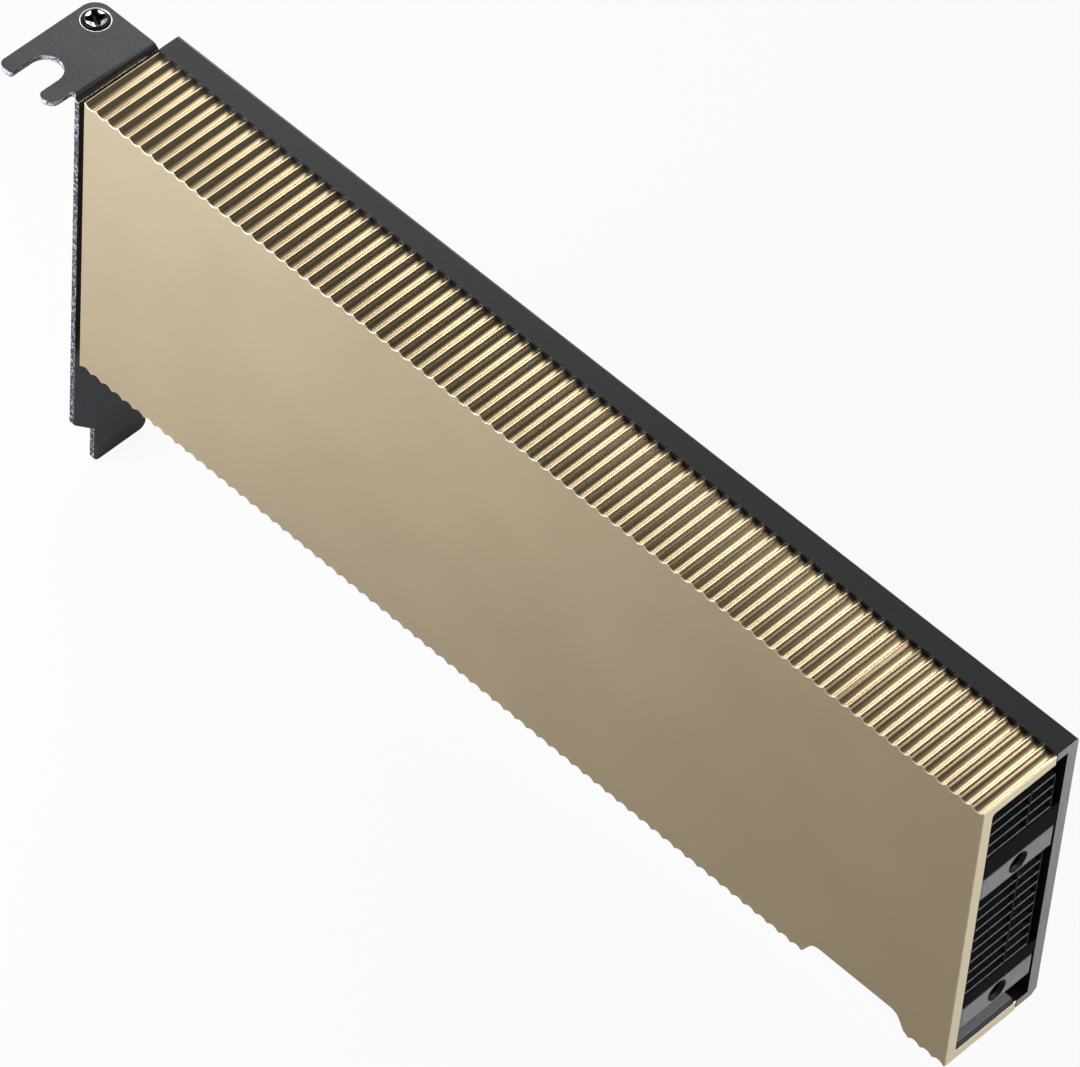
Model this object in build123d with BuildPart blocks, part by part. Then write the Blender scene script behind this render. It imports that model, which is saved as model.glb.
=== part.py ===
from build123d import *
import os
from math import asin, cos, degrees, radians, sin

# Passive accelerator card: a fluted cover and a plain back frame close round a circuit board,
# and air from the server blows through the fins between them, from end to end.
# X runs along the card from the bracket to the open end, Y from the cover to the back frame,
# and Z up from the edge contacts. All sizes are in millimetres.
# The origin lies on the component face of the board, at the lower edge of the contact tongue,
# on the centre line of its key notch.

# Whole card
key_to_bracket = 58.2
card_length = 166.8
contact_to_crest = 71.5
bracket_gap = 0.9
seam_gap = 0.05

# Fluted cover
cover_height = 54.3
cover_reach = 14.27
seam_reach = 0.42
face_wall = 2.0
top_wall = 1.8
bottom_wall = 1.95
flute_pitch = 2.15
flute_land = 0.35
flute_depth = 0.5
flute_facets = 5
latch_cut_from_end = 7.2
latch_cut_width = 18.9
latch_cut_depth = 3.2
latch_cut_slope = 1.85
latch_cut_round = 2.0
latch_lip_round = 0.8

# Back frame
frame_rise = 0.4
frame_lift = 0.4
frame_flange = 1.55
back_wall = 1.86
frame_upper_round = 0.5
frame_lower_chamfer = 0.9
sheet_thickness = 0.2
sheet_margin = 0.6
sheet_window = 3.2

# Circuit board
board_thickness = 1.57
board_left_gap = 0.15
board_top_gap = 0.5
board_end_gap = 0.5
main_edge_rise = 8.25
step_share = 0.585
step_gap = 0.5
notch_width = 1.9
notch_depth = 7.9
short_tongue = 11.65
long_tongue = 71.65
tongue_bevel_height = 1.2
tongue_bevel_depth = 0.4
contact_pitch = 1.0
contact_width = 0.7
contact_length = 4.3
contact_lift = 1.3
contact_thickness = 0.05
hook_gap = 3.0
hook_leg = 4.5
hook_toe = 1.8
hook_rise = 2.4
hook_toe_height = 2.6

# Fins
fin_pitch = 2.25
fin_thickness = 0.33
fin_web = 0.2
first_fin_gap = 2.1
bond_gap = 0.05
fin_start = 10.0
deep_fins = 16.3
deep_fin_gap = 0.1
fin_clearance = 0.1

# Crossbars and spacers at the open end
crossbar_height = 4.4
crossbar_depth = 8.0
crossbar_edge = 0.25
crossbar_back_gap = 0.3
upper_bar_drop = 15.65
lower_bar_rise = 6.5
upper_spacer_height = 4.4
lower_spacer_height = 2.95
spacer_back_gap = 0.05
floor_pad_height = 1.85
floor_pad_length = 6.6
floor_pad_slant = 0.7
floor_pad_back_gap = 0.55
tapped_radius = 1.25
tapped_depth = 6.0
tapped_sink = 0.55
tapped_from_board = 5.22
bar_tap_depth = 3.2

# Bracket
sheet_metal = 0.86
blade_width = 18.42
bracket_height = 79.0
tab_drop = 0.4
tab_length = 11.7
tab_overhang = 3.4
tab_width = 18.4
tab_shoulder = 3.2
bend_radius = 0.6
far_corner_round = 2.6
near_corner_round = 1.2
slot_corner_round = 0.5
tongue_width = 10.19
tongue_length = 7.3
tongue_round = 1.2
screw_slot_width = 5.2
screw_slot_from_blade = 7.3
screw_slot_reach = 3.15
finger_gap = 1.9
finger_round = 1.6
finger_tip_round = 1.0
relief_radius = 0.5
relief_drop = 1.9
ear_length = 9.0
ear_height = 8.0
upper_ear_drop = 18.0
lower_ear_drop = 37.0
ear_hole_inset = 5.3
ear_root_round = 0.8
vent_pitch = 4.0
vent_size = 3.2
vent_margin = 4.2
vent_front_margin = 3.6
tab_screw_inset = 3.15
tab_screw_offset = 11.95
collar_radius = 2.1
collar_depth = 1.4

# Processor, memory and heat sink base
package_size = 37.5
package_height = 1.3
package_share = 0.3957
package_corner = 1.2
die_size = 24.0
die_height = 0.75
memory_width = 12.0
memory_length = 14.0
memory_pitch = 15.0
memory_height = 1.2
memory_from_package = 32.2
memory_rows = 3
base_thickness = 2.6
base_margin = 4.0
base_corner = 1.5
base_top_gap = 1.2
base_floor_gap = 2.0

# Power section
power_rows = 5
power_pitch = 9.6
inductor_size = 7.0
inductor_height = 4.0
inductor_chamfer = 0.5
inductor_from_end = 38.5
stage_width = 5.0
stage_length = 6.0
stage_height = 0.8
stage_from_inductor = 10.5
tantalum_width = 7.3
tantalum_length = 4.3
tantalum_height = 1.9
tantalum_from_bracket = 15.5
chip_capacitor_from_package = 22.3
chip_capacitor_length = 1.6
chip_capacitor_width = 0.8
chip_capacitor_pitch = 2.4
chip_capacitor_rows = 8
coupling_pitch = 2.2
coupling_count = 30
controller_size = 7.0
controller_height = 0.9
controller_pitch = 14.0
controller_from_end = 22.0

# Screws
shank_radius = 1.0
head_radius = 2.0
head_recess = 0.1
seat_clearance = 0.05
hole_clearance = 0.1
thread_clearance = 0.05
screw_tip = 0.3
tab_head_radius = 1.85
tab_shank_radius = 1.0
tab_screw_reach = 2.1
tab_head_recess = 0.35
recess_width = 0.5
recess_length = 2.0
recess_depth = 0.6

# How near an edge must lie to a place to be picked there, and how far a cut runs past a face
pick_tolerance = 0.01
overcut = 1.0

# Places along the card
blade_x = -key_to_bracket
end_x = blade_x + card_length
body_x = blade_x + bracket_gap
body_length = end_x - body_x
body_mid_x = (body_x + end_x) / 2
board_x = body_x + board_left_gap
bar_x = end_x - crossbar_depth
board_end_x = bar_x - board_end_gap
tongue_start_x = -notch_width / 2 - short_tongue
tongue_end_x = notch_width / 2 + long_tongue
hook_x = tongue_end_x + hook_gap
hook_end_x = hook_x + hook_leg
step_x = hook_end_x + step_share * (board_end_x - hook_end_x)
fins_x = body_x + fin_start
deep_x = end_x - deep_fins
package_x = blade_x + package_share * card_length
latch_end_x = end_x - latch_cut_from_end
latch_start_x = latch_end_x - latch_cut_width

# Places across the card
cover_y = -cover_reach
cover_back_y = -seam_reach
frame_y = cover_back_y + seam_gap
wall_y = board_thickness + sheet_thickness
frame_back_y = wall_y + back_wall
chip_top_y = -(package_height + die_height)
base_y = chip_top_y - base_thickness
fin_y = cover_y + face_wall + bond_gap
bar_back_y = wall_y - crossbar_back_gap
tapped_y = -tapped_from_board

# Places up the card
crest_z = contact_to_crest
lower_crest_z = crest_z - cover_height
cover_mid_z = (crest_z + lower_crest_z) / 2
ceiling_z = crest_z - top_wall
floor_z = lower_crest_z + bottom_wall
frame_top_z = crest_z + frame_rise
frame_bottom_z = lower_crest_z + frame_lift
frame_ceiling_z = frame_top_z - frame_flange
frame_floor_z = frame_bottom_z + frame_flange
board_top_z = frame_ceiling_z - board_top_gap
upper_bar_z = crest_z - upper_bar_drop - crossbar_height
lower_bar_z = lower_crest_z + lower_bar_rise

# The two faces of the board, both looking at the cover, and where the frame is screwed on
component_face = Plane.XZ
solder_face = Plane.XZ.offset(-board_thickness)

bar_spots = [(bar_x + crossbar_depth / 2, z + crossbar_height / 2) for z in (upper_bar_z, lower_bar_z)]
ear_spots = [(blade_x + ear_hole_inset, z) for z in (crest_z - upper_ear_drop, crest_z - lower_ear_drop)]


def span_box(x_span, y_span, z_span, mode=Mode.ADD):
    """Add or cut the box between three pairs of limits in the piece being built."""
    sizes = [high - low for low, high in (x_span, y_span, z_span)]
    with Locations([tuple((low + high) / 2 for low, high in (x_span, y_span, z_span))]):
        Box(*sizes, mode=mode)


def facing_back(spots, y):
    """Planes that look out of the card's back at height y, one at each x and z."""
    return [Plane(origin=(x, y, z), x_dir=(-1, 0, 0), z_dir=(0, 1, 0)) for x, z in spots]


def drill(plane, spots, radius, depth):
    """Cut a round hole at each spot, from the plane towards its normal."""
    with BuildSketch(plane) as holes:
        with Locations(spots):
            Circle(radius)
    extrude(holes.sketch, amount=depth, mode=Mode.SUBTRACT)


def edges_at(edges, axis, place):
    """The edges whose middle lies at one place along an axis."""
    return edges.filter_by_position(axis, place - pick_tolerance, place + pick_tolerance)


# Cover: a shallow channel whose top and bottom carry concave flutes from face to seam
flute_width = flute_pitch - flute_land
flute_radius = (flute_width**2 / 4 + flute_depth**2) / (2 * flute_depth)
flute_half_angle = degrees(asin(flute_width / 2 / flute_radius))
flute_count = int((body_length - flute_land) / flute_pitch + 1e-6)


def flute(side):
    """Cut one flute at each place, opening upwards where side is 1 and downwards where it is -1."""
    floor = []
    for step in range(flute_facets + 1):
        turn = radians(flute_half_angle * (2 * step / flute_facets - 1))
        drop = flute_radius * cos(turn) + flute_depth - flute_radius
        floor.append((flute_radius * sin(turn), -side * drop))
    Polygon(*floor, align=None, mode=Mode.SUBTRACT)


with BuildPart() as heatsink_cover:
    with BuildSketch(Plane.XZ.offset(cover_reach)):
        with Locations((body_mid_x, cover_mid_z)):
            Rectangle(body_length, cover_height)
        for edge_z, side in ((crest_z, 1), (lower_crest_z, -1)):
            with Locations((body_mid_x, edge_z)):
                with GridLocations(flute_pitch, 0, flute_count, 1):
                    flute(side)
    extrude(amount=cover_y - cover_back_y)
    span_box(
        (body_x - overcut, end_x + overcut),
        (cover_y + face_wall, overcut),
        (floor_z, ceiling_z),
        Mode.SUBTRACT,
    )
    with BuildSketch(Plane.XZ.offset(cover_reach)) as latch_cut:
        with BuildLine():
            Polyline(
                (latch_start_x, lower_crest_z - overcut),
                (latch_start_x, lower_crest_z),
                (latch_start_x + latch_cut_slope, lower_crest_z + latch_cut_depth),
                (latch_end_x - latch_cut_slope, lower_crest_z + latch_cut_depth),
                (latch_end_x, lower_crest_z),
                (latch_end_x, lower_crest_z - overcut),
                close=True,
            )
        make_face()
        fillet(latch_cut.vertices().group_by(Axis.Y)[1], radius=latch_lip_round)
        fillet(latch_cut.vertices().group_by(Axis.Y)[-1], radius=latch_cut_round)
    extrude(amount=cover_y - cover_back_y, mode=Mode.SUBTRACT)

# Back frame: a plain channel, its lower flange open where the board comes down
with BuildPart() as back_frame:
    with BuildSketch(Plane.YZ.offset(body_x)) as frame_section:
        with BuildLine():
            Polyline(
                (frame_y, frame_top_z),
                (frame_back_y, frame_top_z),
                (frame_back_y, frame_bottom_z),
                (frame_y, frame_bottom_z),
                (frame_y, frame_floor_z),
                (wall_y, frame_floor_z),
                (wall_y, frame_ceiling_z),
                (frame_y, frame_ceiling_z),
                close=True,
            )
        make_face()
        back_corners = frame_section.vertices().group_by(Axis.X)[-1].sort_by(Axis.Y)
        chamfer(back_corners[0], length=frame_lower_chamfer)
        fillet(back_corners[-1], radius=frame_upper_round)
    extrude(amount=body_length)
    span_box(
        (body_x - overcut, step_x + step_gap),
        (frame_y - overcut, wall_y),
        (frame_bottom_z - overcut, frame_floor_z + overcut),
        Mode.SUBTRACT,
    )
    with Locations(facing_back(ear_spots + bar_spots, frame_back_y)):
        CounterSinkHole(
            shank_radius + hole_clearance,
            head_radius + head_recess + seat_clearance,
            depth=2 * back_wall,
            counter_sink_angle=90,
        )

# Circuit board: its contact tongue has a key notch, and a hook follows for the slot's latch
with BuildPart() as circuit_board:
    with BuildSketch(component_face):
        with BuildLine():
            Polyline(
                (board_x, board_top_z),
                (board_x, main_edge_rise),
                (tongue_start_x, main_edge_rise),
                (tongue_start_x, 0),
                (tongue_end_x, 0),
                (tongue_end_x, main_edge_rise),
                (hook_x, main_edge_rise),
                (hook_x, hook_rise + hook_toe_height),
                (hook_x - hook_toe, hook_rise + hook_toe_height),
                (hook_x - hook_toe, hook_rise),
                (hook_end_x, hook_rise),
                (hook_end_x, main_edge_rise),
                (step_x, main_edge_rise),
                (step_x, frame_floor_z + step_gap),
                (board_end_x, frame_floor_z + step_gap),
                (board_end_x, board_top_z),
                close=True,
            )
        make_face()
        with Locations((0, (notch_depth - notch_width / 2) / 2)):
            Rectangle(notch_width, notch_depth - notch_width / 2, mode=Mode.SUBTRACT)
        with Locations((0, notch_depth - notch_width / 2)):
            Circle(notch_width / 2, mode=Mode.SUBTRACT)
    extrude(amount=-board_thickness)
    contact_edges = edges_at(circuit_board.edges().filter_by(Axis.X), Axis.Z, 0)
    chamfer(contact_edges, length=tongue_bevel_depth, length2=tongue_bevel_height)
    drill(solder_face, ear_spots, shank_radius + hole_clearance, board_thickness)


contact_mid_z = contact_lift + contact_length / 2


def contact_row(start_x, end_x):
    """Sketch the contacts that fill one stretch of the tongue."""
    count = int((end_x - start_x - contact_width) / contact_pitch) + 1
    with Locations(((start_x + end_x) / 2, contact_mid_z)):
        with GridLocations(contact_pitch, 0, count, 1):
            Rectangle(contact_width, contact_length)


# Contacts: gold pads on both faces of the tongue
with BuildPart() as edge_contacts:
    for face_plane, outward in ((component_face, 1), (solder_face, -1)):
        with BuildSketch(face_plane):
            contact_row(tongue_start_x, -notch_width / 2)
            contact_row(notch_width / 2, tongue_end_x)
        extrude(amount=outward * contact_thickness)

# Insulating sheet between the board's solder side and the back frame
with BuildPart() as insulation_sheet:
    sheet_bottom_z = frame_floor_z + sheet_margin
    with BuildSketch(solder_face):
        with Locations(((board_x + board_end_x) / 2, (sheet_bottom_z + board_top_z) / 2)):
            Rectangle(board_end_x - board_x, board_top_z - sheet_bottom_z)
        with Locations(ear_spots):
            Rectangle(sheet_window, sheet_window, mode=Mode.SUBTRACT)
    extrude(amount=-sheet_thickness)


# Processor, its bare die, and the memory on both sides of it
package_z = (ceiling_z + floor_z) / 2
memory_columns = [(package_x + side * memory_from_package, package_z) for side in (-1, 1)]

with BuildPart() as processor_package:
    with BuildSketch(component_face) as outline:
        with Locations((package_x, package_z)):
            Rectangle(package_size, package_size)
        chamfer(outline.vertices(), length=package_corner)
    extrude(amount=package_height)

with BuildPart() as processor_die:
    with BuildSketch(component_face.offset(package_height)):
        with Locations((package_x, package_z)):
            Rectangle(die_size, die_size)
    extrude(amount=die_height)


def memory_layer(base, thickness):
    """Add one block on each memory place, from the given height above the board."""
    with BuildSketch(component_face.offset(base)) as blocks:
        with Locations(memory_columns):
            with GridLocations(0, memory_pitch, 1, memory_rows):
                Rectangle(memory_width, memory_length)
    extrude(blocks.sketch, amount=thickness)


with BuildPart() as memory_chips:
    memory_layer(0, memory_height)

with BuildPart() as thermal_pads:
    memory_layer(memory_height, package_height + die_height - memory_height)

# Heat sink base: a plate on the die and the pads, bonded under the fins
with BuildPart() as heatsink_base:
    base_length = 2 * (memory_from_package + memory_width / 2 + base_margin)
    base_top_z = ceiling_z - base_top_gap
    base_bottom_z = floor_z + base_floor_gap
    with BuildSketch(component_face.offset(-chip_top_y)) as outline:
        with Locations((package_x, (base_top_z + base_bottom_z) / 2)):
            Rectangle(base_length, base_top_z - base_bottom_z)
        fillet(outline.vertices(), radius=base_corner)
    extrude(amount=base_thickness)


# Fins: thin sheets along the card, each folded over at its edge to meet the next. They are
# shallow over the board and its chips, and reach the board at the open end.
first_fin_z = ceiling_z - first_fin_gap
fin_count = int((first_fin_z - floor_z) / fin_pitch) + 1
last_fin_z = first_fin_z - (fin_count - 1) * fin_pitch
fins_mid_z = (first_fin_z + last_fin_z) / 2


def fin_section(back_y):
    """Sketch the fins seen along the card, with their folded edges at back_y."""
    with Locations(((fin_y + back_y) / 2, fins_mid_z)):
        with GridLocations(0, fin_pitch, 1, fin_count):
            Rectangle(back_y - fin_y, fin_thickness)
    with Locations((back_y - fin_web / 2, fins_mid_z)):
        Rectangle(fin_web, first_fin_z - last_fin_z + fin_thickness)


with BuildPart() as fin_stack:
    with BuildSketch(Plane.YZ.offset(fins_x)) as shallow_section:
        fin_section(base_y)
    extrude(amount=end_x - fins_x)
    with BuildSketch(Plane.YZ.offset(deep_x)) as deep_section:
        fin_section(-deep_fin_gap)
    extrude(amount=end_x - deep_x)
    for low_z, high_z in (
        (upper_bar_z, upper_bar_z + crossbar_height + upper_spacer_height),
        (floor_z, lower_bar_z + crossbar_height + lower_spacer_height),
    ):
        span_box(
            (bar_x - fin_clearance, end_x + overcut),
            (fin_y - overcut, overcut),
            (low_z - fin_clearance, high_z + fin_clearance),
            Mode.SUBTRACT,
        )


# Crossbars: they hold the open end, and each is tapped for a support and for its own screw
def crossbar(low_z):
    """Add a bar across the card, with a bevelled end face."""
    mid_z = low_z + crossbar_height / 2
    with BuildSketch(Plane.YZ.offset(bar_x)) as section:
        with Locations(((fin_y + bar_back_y) / 2, mid_z)):
            Rectangle(bar_back_y - fin_y, crossbar_height)
    extrude(section.sketch, amount=crossbar_depth)
    with BuildSketch(Plane.YZ.offset(end_x)) as mouth:
        with Locations((tapped_y, mid_z)):
            Circle(tapped_radius)
    extrude(mouth.sketch, amount=-tapped_depth, mode=Mode.SUBTRACT)


def finish_crossbar(bar, low_z):
    """Bevel the bar's end face and its tapped hole, and drill its back for a screw."""
    end_face = bar.faces().sort_by(Axis.X)[-1]
    mouth_edge = end_face.edges().filter_by(GeomType.CIRCLE)
    chamfer(end_face.edges() - mouth_edge, length=crossbar_edge)
    chamfer(bar.edges().filter_by(GeomType.CIRCLE).sort_by(Axis.X)[-1], length=tapped_sink)
    spot = (bar_x + crossbar_depth / 2, low_z + crossbar_height / 2)
    drill(Plane.XZ.offset(-bar_back_y), [spot], shank_radius + thread_clearance, bar_tap_depth)


with BuildPart() as upper_crossbar:
    crossbar(upper_bar_z)
    finish_crossbar(upper_crossbar, upper_bar_z)

with BuildPart() as lower_crossbar:
    crossbar(lower_bar_z)
    finish_crossbar(lower_crossbar, lower_bar_z)

# Spacers: black blocks that sit on the bars and blank the openings beside them
with BuildPart() as upper_spacer:
    upper_spacer_z = upper_bar_z + crossbar_height
    span_box(
        (bar_x, end_x),
        (fin_y, wall_y - spacer_back_gap),
        (upper_spacer_z, upper_spacer_z + upper_spacer_height),
    )

with BuildPart() as lower_spacer:
    lower_spacer_z = lower_bar_z + crossbar_height
    span_box(
        (bar_x, end_x),
        (fin_y, wall_y - spacer_back_gap),
        (lower_spacer_z, lower_spacer_z + lower_spacer_height),
    )

# Pad on the cover's floor at the open end, its back edge sloping
with BuildPart() as floor_pad:
    pad_back_y = cover_back_y - floor_pad_back_gap
    with BuildSketch(Plane.YZ.offset(end_x - floor_pad_length)):
        with BuildLine():
            Polyline(
                (fin_y, floor_z),
                (fin_y, floor_z + floor_pad_height),
                (pad_back_y - floor_pad_slant, floor_z + floor_pad_height),
                (pad_back_y, floor_z),
                close=True,
            )
        make_face()
    extrude(amount=floor_pad_length)


# Bracket: one sheet, with a tab bent over at the top and two ears tapped for the frame's screws
blade_out_x = blade_x - sheet_metal
blade_front_y = cover_y
blade_back_y = blade_front_y + blade_width
tab_top_z = crest_z - tab_drop
tab_under_z = tab_top_z - sheet_metal
tab_x = blade_out_x - tab_length
tab_front_y = blade_front_y - tab_overhang
tab_back_y = tab_front_y + tab_width
bend_x = blade_out_x - bend_radius
bend_z = tab_under_z - bend_radius
bend_outer_radius = bend_radius + sheet_metal
shoulder_z = tab_top_z - tab_shoulder
finger_x = blade_x - finger_gap
slot_x = blade_x - screw_slot_from_blade
slot_end_y = blade_front_y + screw_slot_reach - screw_slot_width / 2
blade_bottom_z = tab_top_z - bracket_height
tongue_front_y = blade_front_y + (blade_width - tongue_width) / 2
tongue_back_y = tongue_front_y + tongue_width
blade_chamfer = (blade_width - tongue_width) / 2
blade_chamfer_z = blade_bottom_z + tongue_length + blade_chamfer
tab_screw_spot = (tab_x + tab_screw_inset, blade_front_y + tab_screw_offset)
tab_screw_seat = Plane(origin=(*tab_screw_spot, tab_top_z))
vent_column_pitch = vent_pitch * cos(radians(30))
vent_rows = int((ceiling_z - floor_z - 2 * vent_margin) / vent_pitch)
vent_mid_y = blade_front_y + vent_front_margin + vent_column_pitch


def nearest(outline, *spots):
    """The corners of a sketch that lie nearest to the given spots."""
    return [outline.vertices().sort_by_distance((*spot, 0))[0] for spot in spots]


with BuildPart() as io_bracket:
    with BuildSketch(Plane.YZ.offset(blade_out_x)) as blade_outline:
        with BuildLine():
            Polyline(
                (blade_front_y, bend_z),
                (tab_back_y, bend_z),
                (tab_back_y, shoulder_z),
                (blade_back_y, shoulder_z),
                (blade_back_y, blade_chamfer_z),
                (tongue_back_y, blade_chamfer_z - blade_chamfer),
                (tongue_back_y, blade_bottom_z),
                (tongue_front_y, blade_bottom_z),
                (tongue_front_y, blade_chamfer_z - blade_chamfer),
                (blade_front_y, blade_chamfer_z),
                close=True,
            )
        make_face()
        fillet(
            nearest(
                blade_outline,
                (blade_back_y, shoulder_z),
                (blade_back_y, blade_chamfer_z),
                (blade_front_y, blade_chamfer_z),
                (tongue_back_y, blade_bottom_z),
                (tongue_front_y, blade_bottom_z),
            ),
            radius=tongue_round,
        )
        with Locations((vent_mid_y, (ceiling_z + floor_z) / 2)):
            with GridLocations(2 * vent_column_pitch, vent_pitch, 2, vent_rows):
                RegularPolygon(vent_size / 2, 6, major_radius=False, mode=Mode.SUBTRACT)
            with GridLocations(0, vent_pitch, 1, vent_rows - 1):
                RegularPolygon(vent_size / 2, 6, major_radius=False, mode=Mode.SUBTRACT)
    extrude(amount=sheet_metal)

    with BuildSketch(Plane.XZ.offset(-blade_front_y)):
        with BuildLine():
            inner = CenterArc((bend_x, bend_z), bend_radius, 0, 90)
            outer = CenterArc((bend_x, bend_z), bend_outer_radius, 0, 90)
            Line(inner @ 0, outer @ 0)
            Line(inner @ 1, outer @ 1)
        make_face()
    extrude(amount=blade_front_y - tab_back_y)

    with BuildSketch(Plane.XY.offset(tab_under_z)) as tab_outline:
        with BuildLine():
            Polyline(
                (tab_x, tab_front_y),
                (finger_x, tab_front_y),
                (finger_x, blade_front_y),
                (bend_x, blade_front_y),
                (bend_x, tab_back_y),
                (tab_x, tab_back_y),
                close=True,
            )
        make_face()
        fillet(nearest(tab_outline, (tab_x, tab_back_y)), radius=far_corner_round)
        fillet(nearest(tab_outline, (tab_x, tab_front_y)), radius=near_corner_round)
        fillet(nearest(tab_outline, (finger_x, tab_front_y)), radius=finger_round)
        with Locations((slot_x, (tab_front_y - overcut + slot_end_y) / 2)):
            Rectangle(screw_slot_width, slot_end_y - tab_front_y + overcut, mode=Mode.SUBTRACT)
        with Locations((slot_x, slot_end_y)):
            Circle(screw_slot_width / 2, mode=Mode.SUBTRACT)
        fillet(nearest(tab_outline, (slot_x + screw_slot_width / 2, tab_front_y)), radius=finger_tip_round)
        fillet(nearest(tab_outline, (slot_x - screw_slot_width / 2, tab_front_y)), radius=slot_corner_round)
    extrude(amount=sheet_metal)
    with BuildSketch(Plane.XY.offset(tab_top_z)):
        with Locations((finger_x + relief_radius, blade_front_y)):
            Circle(relief_radius)
    extrude(amount=-relief_drop, mode=Mode.SUBTRACT)

    with BuildSketch(Plane.XY.offset(tab_under_z)):
        with Locations(tab_screw_spot):
            Circle(collar_radius)
    extrude(amount=-collar_depth)
    with Locations(tab_screw_seat):
        CounterSinkHole(
            tab_shank_radius + thread_clearance,
            tab_head_radius + tab_head_recess + seat_clearance,
            depth=2 * collar_depth + sheet_metal,
            counter_sink_angle=90,
        )

    with BuildSketch(component_face):
        with Locations([(blade_x + ear_length / 2, z) for x, z in ear_spots]):
            Rectangle(ear_length, ear_height)
    extrude(amount=sheet_metal)
    ear_edges = edges_at(io_bracket.edges().filter_by(Axis.Z), Axis.Y, -sheet_metal)
    fillet(edges_at(ear_edges, Axis.X, blade_x), radius=ear_root_round)
    drill(component_face, ear_spots, shank_radius + thread_clearance, sheet_metal)


# Power section: inductors and switches near the open end, capacitors beside them
inductor_x = end_x - inductor_from_end
stage_x = inductor_x - stage_from_inductor


def power_blocks(x, length_x, length_z, height):
    """Add one block in each row of the power section, centred at x."""
    with BuildSketch(component_face) as blocks:
        with Locations((x, package_z)):
            with GridLocations(0, power_pitch, 1, power_rows):
                Rectangle(length_x, length_z)
    extrude(blocks.sketch, amount=height)


with BuildPart() as power_inductors:
    power_blocks(inductor_x, inductor_size, inductor_size, inductor_height)
    chamfer(power_inductors.faces().group_by(Axis.Y)[0].edges(), length=inductor_chamfer)

with BuildPart() as power_stages:
    power_blocks(stage_x, stage_width, stage_length, stage_height)

with BuildPart() as tantalum_capacitors:
    power_blocks(blade_x + tantalum_from_bracket, tantalum_length, tantalum_width, tantalum_height)

with BuildPart() as ceramic_capacitors:
    with BuildSketch(component_face):
        with Locations([(package_x + side * chip_capacitor_from_package, package_z) for side in (-1, 1)]):
            with GridLocations(0, chip_capacitor_pitch, 1, chip_capacitor_rows):
                Rectangle(chip_capacitor_length, chip_capacitor_width)
    extrude(amount=chip_capacitor_width)

with BuildPart() as coupling_capacitors:
    with BuildSketch(component_face):
        with Locations(((tongue_end_x + notch_width) / 2, (main_edge_rise + lower_crest_z) / 2)):
            with GridLocations(coupling_pitch, 0, coupling_count, 1):
                Rectangle(chip_capacitor_width, chip_capacitor_length)
    extrude(amount=chip_capacitor_width)

with BuildPart() as controller_chips:
    with BuildSketch(component_face):
        with Locations((end_x - controller_from_end, package_z)):
            with GridLocations(0, controller_pitch, 1, 2):
                Rectangle(controller_size, controller_size)
    extrude(amount=controller_height)


# Screws
def flat_head_screws(seats, head, shank, reach, sink):
    """Add a flat-head screw at each seat, a plane on the outer surface, its tip at reach below."""
    with Locations([seat.offset(-sink) for seat in seats]):
        Cone(shank, head, head - shank, align=(Align.CENTER, Align.CENTER, Align.MAX))
        Cylinder(shank, reach - sink, align=(Align.CENTER, Align.CENTER, Align.MAX))


with BuildPart() as frame_screws:
    frame_screw_reach = frame_back_y + sheet_metal + screw_tip
    frame_screw_seats = facing_back(ear_spots + bar_spots, frame_back_y)
    flat_head_screws(frame_screw_seats, head_radius, shank_radius, frame_screw_reach, head_recess)

with BuildPart() as tab_screw:
    flat_head_screws([tab_screw_seat], tab_head_radius, tab_shank_radius, tab_screw_reach, tab_head_recess)
    with Locations(tab_screw_seat.offset(-tab_head_recess)):
        for turn in (0, 90):
            Box(
                recess_length,
                recess_width,
                recess_depth,
                rotation=(0, 0, turn),
                align=(Align.CENTER, Align.CENTER, Align.MAX),
                mode=Mode.SUBTRACT,
            )


# Every piece under its name
pieces = {
    "heatsink_cover": heatsink_cover,
    "back_frame": back_frame,
    "circuit_board": circuit_board,
    "edge_contacts": edge_contacts,
    "insulation_sheet": insulation_sheet,
    "processor_package": processor_package,
    "processor_die": processor_die,
    "memory_chips": memory_chips,
    "thermal_pads": thermal_pads,
    "heatsink_base": heatsink_base,
    "fin_stack": fin_stack,
    "upper_crossbar": upper_crossbar,
    "lower_crossbar": lower_crossbar,
    "upper_spacer": upper_spacer,
    "lower_spacer": lower_spacer,
    "floor_pad": floor_pad,
    "io_bracket": io_bracket,
    "power_inductors": power_inductors,
    "power_stages": power_stages,
    "tantalum_capacitors": tantalum_capacitors,
    "ceramic_capacitors": ceramic_capacitors,
    "coupling_capacitors": coupling_capacitors,
    "controller_chips": controller_chips,
    "frame_screws": frame_screws,
    "tab_screw": tab_screw,
}

os.makedirs("parts", exist_ok=True)
for name, piece in pieces.items():
    piece.part.label = name
    export_step(piece.part, f"parts/{name}.step")
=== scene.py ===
"""Looks of the passive accelerator card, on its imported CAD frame. Lengths are in metres."""
import math

import bmesh
import bpy
from mathutils import Matrix, Vector


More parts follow.
